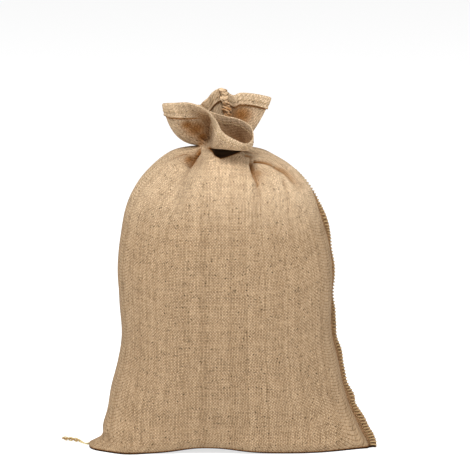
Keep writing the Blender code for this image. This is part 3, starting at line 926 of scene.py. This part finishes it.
def wound_round(foot, edge, thickness, pitch=STITCH_PITCH):
    """Path = middle of the seam + reach cos(a) outwards + thickness sin(a) across, where a
    makes one turn for each pitch of the seam's length. It slants: cos(a) also moves it on
    along the seam. Returns the path, its way out of the seam, and how near it is to the foot."""
    run = run_along(edge)
    turns = int(run[-1] / pitch)
    a = np.linspace(0, 2 * np.pi * turns, turns * TURN_POINTS)
    out = edge - foot
    reach = np.linalg.norm(out, axis=1)
    across = unit(np.cross(np.gradient(edge, axis=0), out))
    at = np.linspace(0, run[-1], len(a))
    at = np.clip(at + SLANT * np.interp(at, run, reach) * np.cos(a) / 2, 0, run[-1])
    facts = np.concatenate([foot, edge, out / reach[:, None], across, reach[:, None]], axis=1)
    foot, edge, out, across, reach = np.split(read_at(at, run, facts), [3, 6, 9, 12], axis=1)
    cos, sin = np.cos(a)[:, None], np.sin(a)[:, None]
    flatter = np.sign(sin) * np.abs(sin) ** 0.6
    radial = cos * out * reach / 2 + flatter * across * (thickness / 2 + 0.5 * THREAD)
    return ((foot + edge) / 2 + radial)[None], radial[None], (0.5 - 0.5 * cos)[None, :, 0]


foot = (outside[:, 1] + outside[:, -2]) / 2
edge = (outside[:, 0] + outside[:, -1]) / 2
runs = np.flatnonzero(np.diff((seam_width > 3.2).astype(int)))
print("the seam stands proud over rows", runs)

# %% Stitches up the side seam
needle_line = 0.72 * foot + 0.28 * edge
path, radial, at_foot = wound_round(needle_line[: runs[0]], edge[: runs[0]], SEAM_THICKNESS * 0.9)
path[..., 2] = np.maximum(path[..., 2], THREAD)
# Painted shade, darker towards the seam's foot.
side_stitches = tubes("side_stitches", path, THREAD, radial, shade=0.45 * at_foot**2)
print("side stitches", path.shape)

# %% The bundle of threads where the seam ends in the mouth
MOUTH_POINTS = 230
BUNDLE = ((3.7, 5.0), (5.3, 5.4), (4.4, -6.6))  # each strand's pitch and thickness
last = runs[-1] + 1
overlap = (edge[last:] - foot[last:]) / np.maximum(seam_width[last:, None], 1) * 3.0
mouth_paths, mouth_radials = [], []
for pitch, thickness in BUNDLE:
    path, radial, at_foot = wound_round(foot[last:] - overlap, edge[last:], thickness, pitch)
    turn = np.arange(path.shape[1]) + 40 * pitch
    wobble = np.stack([np.sin(turn * 0.42), np.sin(turn * 0.57), np.sin(turn * 0.27)], axis=1)
    wobble += 0.8 * np.sin(turn * 0.071)[:, None] * np.array([1.0, 0.4, 0])
    keep = np.linspace(0, path.shape[1] - 1, MOUTH_POINTS).astype(int)
    keep[1] = 1  # a strand's first step must have a length, or its end has no direction
    lower = 1.4 + ramp(-path[..., 2:], -606, 12)
    mouth_paths.append((path + lower * wobble)[:, keep])
    mouth_radials.append(radial[:, keep])
mouth_paths, mouth_radials = np.concatenate(mouth_paths), np.concatenate(mouth_radials)
turn = np.arange(MOUTH_POINTS)
thread = 1.5 + 0.5 * np.sin(turn * 0.9) + 0.35 * np.sin(turn * 0.37)
# Painted shade: darker low in the bundle, and in patches along each thread.
shade = np.clip((606 - mouth_paths[..., 2]) / 20, 0, 0.42) + 0.3 * (1 + np.sin(turn * 0.61)) / 2
mouth_stitches = tubes("mouth_stitches", mouth_paths, thread, mouth_radials, shade=shade)
print("threads in the mouth", mouth_paths.shape)

# %% [markdown]
# ## The seam under the base
#
# The base is closed by the same stitch. Its seam lies flat under the sack from corner to
# corner, and at the left corner the thread runs on as a short loose chain.

# %% Base seam
BASE_SEAM_FROM, BASE_SEAM_TO = 236.0, -247.0
BASE_SEAM_WIDTH = 9.0
BASE_SEAM_RISE = 1.6
t = np.linspace(0, 1, 120)
x = BASE_SEAM_FROM + (BASE_SEAM_TO - BASE_SEAM_FROM) * t
line = corners_turned(np.stack([x, 1.5 * np.sin(9 * t), 0 * t + BASE_SEAM_RISE], axis=1))
across = np.array([0, BASE_SEAM_WIDTH / 2, 0])
path, radial, _ = wound_round(line - across, line + across, 0.6)
path[..., 2] = np.maximum(path[..., 2], THREAD)
base_stitches = tubes("base_stitches", path, THREAD, radial)
print("base stitches", path.shape)

# %% [markdown]
# ## The loose chain of thread
#
# Where the sewing machine ran on past the corner, its threads made a chain without cloth.
# It is a cord: three thin strands wound round each other along a given route.

# %% The thread tail
TAIL_ROUTE = (
    (-249.5, -32, 2.6), (-254, -34, 2.4), (-261, -27, 2.6), (-267, -18, 3.4),
    (-277, -11, 4.0), (-288, -7, 4.0), (-298, 0, 3.8),
)
route = spaced(smooth_curve(TAIL_ROUTE), np.linspace(0, 1, 260))
ahead = unit(np.gradient(route, axis=0))
side = unit(np.cross(ahead, [0, 0, 1.0]))
rise = np.cross(side, ahead)

# %% Its three strands
# For each strand: how far out it winds, where its turns start, how thick it is and how much shade is
# painted on it.
winds, starts, thick, dark = np.array(
    [[1, 1, 0.3], [0, 0.5, 0.3], [1, 1, 0.8], [0.1, 0.1, 0.8]]
)[..., None]
along = np.linspace(0, 1, len(route))
turns = np.interp(along, [0, 0.4, 1], [0.25, 0.75, 2.6])
angle = 2 * np.pi * (turns + starts)
swell = np.interp(along, [0, 0.36, 0.46, 0.95, 1], [1.0, 1.0, 2.5, 2.6, 1.2]) * winds
strand = np.interp(along, [0, 0.36, 0.46, 1], [0.95, 0.95, 1.3, 1.2]) * thick
around_route = np.sin(angle)[..., None] * rise + 0.6 * np.cos(angle)[..., None] * side
paths = route + swell[..., None] * around_route
paths[..., 2] = np.maximum(paths[..., 2], strand)
# Painted shade on the chain part: where each strand turns away, and most on the middle strand.
shade = np.maximum(dark, 0.6 * (0.5 - 0.5 * np.cos(angle)) ** 2) * (along > 0.4)
tail = tubes("thread_chain", paths, strand, np.array([0, 0, 1.0]), sides=8, shade=shade)
print("chain", paths.shape)

# %% [markdown]
# ## The stitches of the hem
#
# A straight line of stitches holds the hem. Each is a short thread that dips into the
# cloth at both ends.

# %% Hem stitches
HEM_PITCH = 8.0
HEM_STITCH = 5.2
HEM_STITCH_RISE = 0.75
HEM_THREAD = 0.5


def dashes(line, normal):
    """Short paths along a line: start + t x length, standing off by rise x sin(pi t)."""
    run = run_along(line)
    t = np.linspace(0, 1, 7)
    at = np.arange(2, run[-1] - HEM_PITCH, HEM_PITCH)[:, None] + t * HEM_STITCH
    off = read_at(at, run, normal)
    return read_at(at, run, line) + off * (HEM_STITCH_RISE * np.sin(np.pi * t)[:, None] - 0.25), off


outer_row, inner_row = hem_row + 4, int(INSIDE_ROWS * 0.27)
outer, outer_up = dashes(outside[outer_row, 2:-2], normals_of(outside)[outer_row, 2:-2])
inner, inner_up = dashes(inside[inner_row, 2:-2], normals_of(inside)[inner_row, 2:-2])
paths, up = np.concatenate([outer, inner]), np.concatenate([outer_up, inner_up])
hem_stitches = tubes("hem_stitches", paths, HEM_THREAD, up)
print(len(outer), "stitches outside,", len(inner), "inside")

# %% [markdown]
# ## The weave
#
# Hessian is a plain weave of thick, uneven jute yarns: each goes over one and under the
# next. The yarns differ in colour from grey straw to golden brown, they swell and thin,
# and small holes show between them. The gaps and holes between the yarns get painted
# shade. All of it is worked out from the flat places.

# %% Shader maths as Python expressions
class Wire:
    """A socket that can be added, multiplied and so on. Each step adds a Math node, and
    the reflected forms make 1 - mask work."""

    def __init__(self, paint, socket):
        self.paint, self.socket = paint, socket

    def maths(self, operation, *others, clamp=False):
        """A Math node on this value and up to two others."""
        settings = {"operation": operation, "use_clamp": clamp}
        return self.paint.node("ShaderNodeMath", settings, dict(enumerate([self, *others])))

    __add__ = __radd__ = lambda self, other: self.maths("ADD", other)
    __mul__ = __rmul__ = lambda self, other: self.maths("MULTIPLY", other)
    __sub__ = lambda self, other: self.maths("SUBTRACT", other)
    __rsub__ = lambda self, other: self * -1 + other
    __truediv__ = lambda self, other: self.maths("DIVIDE", other)
    __rtruediv__ = lambda self, other: self**-1 * other
    __pow__ = lambda self, other: self.maths("POWER", other)
    sin = lambda self: self.maths("SINE")
    floor = lambda self: self.maths("FLOOR")
    abs = lambda self: self.maths("ABSOLUTE")
    max = lambda self, other: self.maths("MAXIMUM", other)
    above = lambda self, other: self.maths("GREATER_THAN", other)
    clamped = lambda self: self.maths("ADD", 0.0, clamp=True)


print("a wire also has", ", ".join(name for name in vars(Wire) if name[0] != "_"))

# %% A material being made
class Paint:
    """A material being made: node() adds one node and returns its output as a Wire."""

    def __init__(self, name, roughness):
        self.material = bpy.data.materials.new(name)
        self.material.use_nodes = True
        self.nodes = self.material.node_tree.nodes
        self.links = self.material.node_tree.links
        self.inputs = self.nodes["Principled BSDF"].inputs
        self.inputs["Roughness"].default_value = roughness
        self.inputs["Specular IOR Level"].default_value = 0.1

    def feed(self, socket, value):
        """Joins a Wire to a socket, or sets the socket to a plain value."""
        if isinstance(value, Wire):
            self.links.new(value.socket, socket)
        else:
            socket.default_value = value

    def node(self, kind, settings, values, output=0):
        """A new node of this kind: first its settings, then the values of its sockets."""
        made = self.nodes.new(kind)
        for key, value in settings.items():
            setattr(made, key, value)
        for key, value in values.items():
            self.feed(made.inputs[key], value)
        return Wire(self, made.outputs[output])

    def flat_place(self):
        """Where the point lies on the flat cloth or on the unrolled thread, in metres."""
        place = self.node("ShaderNodeUVMap", {"uv_map": "flat cloth"}, {})
        first = self.node("ShaderNodeSeparateXYZ", {}, {0: place})
        return first, Wire(self, first.socket.node.outputs[1])

    def attribute(self, name):
        """A number that was kept on the mesh's points."""
        return self.node("ShaderNodeAttribute", {"attribute_name": name}, {}, output=2)

    def vector(self, x, y, z=0.0):
        return self.node("ShaderNodeCombineXYZ", {}, {0: x, 1: y, 2: z})

    def noise(self, x, y, z=0.0, detail=2.0):
        """A smooth random number, mostly from 0.3 to 0.7, that changes over about one unit."""
        values = {"Vector": self.vector(x, y, z), "Scale": 1.0, "Detail": detail}
        return self.node("ShaderNodeTexNoise", {"noise_dimensions": "3D"}, values)

    def chance(self, x, y=0.0):
        """A fixed random number from 0 to 1 for each pair of numbers."""
        values = {"Vector": self.vector(x, y)}
        return self.node("ShaderNodeTexWhiteNoise", {"noise_dimensions": "2D"}, values)

    def blend(self, factor, first, second, how="MIX"):
        """The first colour where factor is 0, and the second where it is 1."""
        settings = {"data_type": "RGBA", "blend_type": how}
        return self.node("ShaderNodeMix", settings, {0: factor, 6: first, 7: second}, output=2)

    def tinted(self, factor, colour, tint):
        """The colour where factor is 0, and the colour times the tint where it is 1."""
        return self.blend(factor, colour, tint, "MULTIPLY")

    def finish(self, colour, height, depth, strength):
        """Browner with the painted shade, then redder, and near black where the most shade is
        painted. height, from 0 to 1, stands for a depth in metres."""
        shade = self.attribute("shade")
        colour = self.tinted(shade, colour, SHADED)
        colour = self.tinted(((shade - 0.35) * 1.6).clamped(), colour, DEEP)
        colour = self.blend(((shade - 0.85) * 6.7).clamped(), colour, DARKEST_SHADE)
        self.feed(self.inputs["Base Color"], colour)
        values = {"Height": height, "Distance": depth, "Strength": strength}
        self.feed(self.inputs["Normal"], self.node("ShaderNodeBump", {}, values))
        return self.material


# Tints and near black of painted shade; the near black also darkens the gaps of the weave.
DARKEST_SHADE = (0.03, 0.015, 0.006, 1)
SHADED = (0.45, 0.32, 0.215, 1)
DEEP = (0.76, 0.46, 0.13, 1)
print("shader helpers are ready")

# %% The plain weave
WARP_PITCH = 2.5 * MM
WEFT_PITCH = 2.7 * MM
WANDER = 0.9 * MM  # how far a yarn strays from its straight line


def weave(paint, u, v):
    """Plain weave at (u, v), in metres: how high the surface is, which tint the yarn on
    top has, whether that is a warp yarn, and a chance for each crossing and for each hole.
    A yarn is half an ellipse across, lifted by a sine along it that is up over one crossing
    and down under the next."""
    x = (u + (paint.noise(u * 26, v * 26) - 0.5) * WANDER) / WARP_PITCH
    y = (v + (paint.noise(u * 26, v * 26, 9.0) - 0.5) * WANDER) / WEFT_PITCH
    i, j = x.floor(), y.floor()
    odd_i = 1 - i.maths("MODULO", 2.0).abs() * 2
    odd_j = 1 - j.maths("MODULO", 2.0).abs() * 2
    warp_tint, weft_tint = paint.chance(i, 3.0), paint.chance(j, 7.0)
    warp_slub = paint.noise(i * 3.7, v * 40)
    weft_slub = paint.noise(u * 60, j * 3.7, 5.0)
    warp_width = 0.86 + (warp_tint - 0.5) * 0.2 + (warp_slub - 0.5) * 1.1
    weft_width = 0.84 + (weft_tint - 0.5) * 0.2 + (weft_slub - 0.5) * 1.1
    warp_across = (x - i - 0.5 + (weft_slub - 0.5) * 0.3) * 2 / warp_width
    weft_across = (y - j - 0.5 + (warp_slub - 0.5) * 0.3) * 2 / weft_width
    warp_round = (1 - warp_across * warp_across).max(0.0) ** 0.5
    weft_round = (1 - weft_across * weft_across).max(0.0) ** 0.5
    warp_high = warp_round * (odd_i * (y * np.pi).sin() * 0.35 + 0.65)
    weft_high = weft_round * (odd_j * (x * np.pi).sin() * -0.35 + 0.65)
    on_top = warp_high.above(weft_high)
    warp_look = warp_tint * 0.4 + warp_slub * 0.6
    weft_look = weft_tint * 0.2 + weft_slub * 0.5 + 0.15
    tint = on_top * (warp_look - weft_look) + weft_look
    crossing = paint.chance(i + 0.25, j)
    hole = paint.chance((x + 0.5).floor(), (y + 0.5).floor() + 0.5)
    return warp_high.max(weft_high), tint, on_top, crossing, hole


print("yarns", WARP_PITCH / MM, "and", WEFT_PITCH / MM, "mm apart")

# %% Hessian
LIGHT_YARN = (0.59, 0.425, 0.265, 1)
DARK_YARN = (0.29, 0.175, 0.085, 1)
# How much paler the painted light makes the cloth.
PAINTED_LIGHT_TINT = (1.66, 1.77, 1.93, 1)
OPEN_HOLES = 0.985  # the chance above which a hole between yarns is an open one
YARN_DEPTH = 0.8 * MM


def hessian(name):
    """Yarn colours by tint, with painted shade in the gaps between the yarns and where the
    mesh keeps its shade, and paler where the mesh keeps painted light."""
    paint = Paint(name, roughness=0.9)
    u, v = paint.flat_place()
    painted_light = paint.attribute("painted_light")
    height, tint, on_top, crossing, hole = weave(paint, u, v)
    fibre = paint.noise(u * 700, v * 700, 3.0, detail=1.0)
    broad = paint.noise(u * 14, v * 6, 2.0, detail=3.0)
    tint = (tint - 0.5) * 0.75 + 0.49 + (fibre - 0.5) * 0.45 + (broad - 0.5) * 0.12
    tint = (tint + (crossing - 0.5) * 0.28 + (on_top - 0.5) * 0.42 + painted_light * 0.1).clamped()
    colour = paint.blend(tint, DARK_YARN, LIGHT_YARN)
    # Painted shade: the low places between the yarns and the open holes are darkened.
    gap = hole * 0.16 + hole.above(OPEN_HOLES) * 0.22 + painted_light * 0.05 + 0.56 - height
    colour = paint.blend((gap * 2.6).clamped(), colour, DARKEST_SHADE)
    # Paler where light is painted.
    colour = paint.tinted(painted_light, colour, PAINTED_LIGHT_TINT)
    return paint.finish(colour, height + fibre * 0.25, YARN_DEPTH, 1.0)


sack.data.materials.append(hessian("hessian"))
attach(sack, "root")
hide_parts("sack_cloth")
print("the sack is woven")

# %% [markdown]
# ## Thread and floor
#
# Sewing thread is two plies wound round each other, so slanting stripes run round each
# tube: light on the plies, and painted shade in the grooves between them. It is golden on
# the seams, and paler where it hangs loose. The floor is grey with a glow of its own, which
# keeps it near white and still lets a shadow show.

# %% Sewing thread
PLY_LENGTH, PLY_WIDTH, PLY_DEPTH = 2.2 * MM, 3.0 * MM, 0.3 * MM


def thread_finish(name, dark, light):
    """Stripes: a sine over the place along the tube and the place round it; the dark of the
    stripes is painted shade in the grooves between the plies.
    """
    paint = Paint(name, roughness=0.8)
    along, round_it = paint.flat_place()
    ply = (along * (2 * np.pi / PLY_LENGTH) + round_it * (2 * np.pi / PLY_WIDTH)).sin()
    ply = (ply + 1) * 0.5
    fibre = paint.noise(along * 900, round_it * 3000)
    colour = paint.blend((ply * 0.6 + fibre * 0.4).clamped(), dark, light)
    return paint.finish(colour, ply + fibre * 0.5, PLY_DEPTH, 0.8)


golden = thread_finish("sewing thread", (0.30, 0.185, 0.08, 1), (0.60, 0.44, 0.24, 1))
cream = thread_finish("seam thread at the mouth", (0.60, 0.41, 0.24, 1), (0.90, 0.69, 0.46, 1))
pale = thread_finish("pale thread of the chain", (0.42, 0.31, 0.13, 1), (0.86, 0.73, 0.40, 1))
finishes = {mouth_stitches: cream, tail: pale}
for piece in (side_stitches, mouth_stitches, base_stitches, tail, hem_stitches):
    piece.data.materials.append(finishes.get(piece, golden))
    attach(piece, "root")
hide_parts("thread_tail")
path = [tuple(point) for point in route[::6] * MM] + [tuple(route[-1] * MM)]
print("threads are finished")

# %% Floor
FLOOR_GREY = 0.5
FLOOR_GLOW = 0.72
floor_paint = Paint("pale floor", roughness=0.9)
floor_paint.inputs["Base Color"].default_value = (FLOOR_GREY, FLOOR_GREY, FLOOR_GREY, 1)
floor_paint.inputs["Emission Color"].default_value = (1, 1, 1, 1)
floor_paint.inputs["Emission Strength"].default_value = FLOOR_GLOW
floor.data.materials.append(floor_paint.material)
print("the floor is pale")
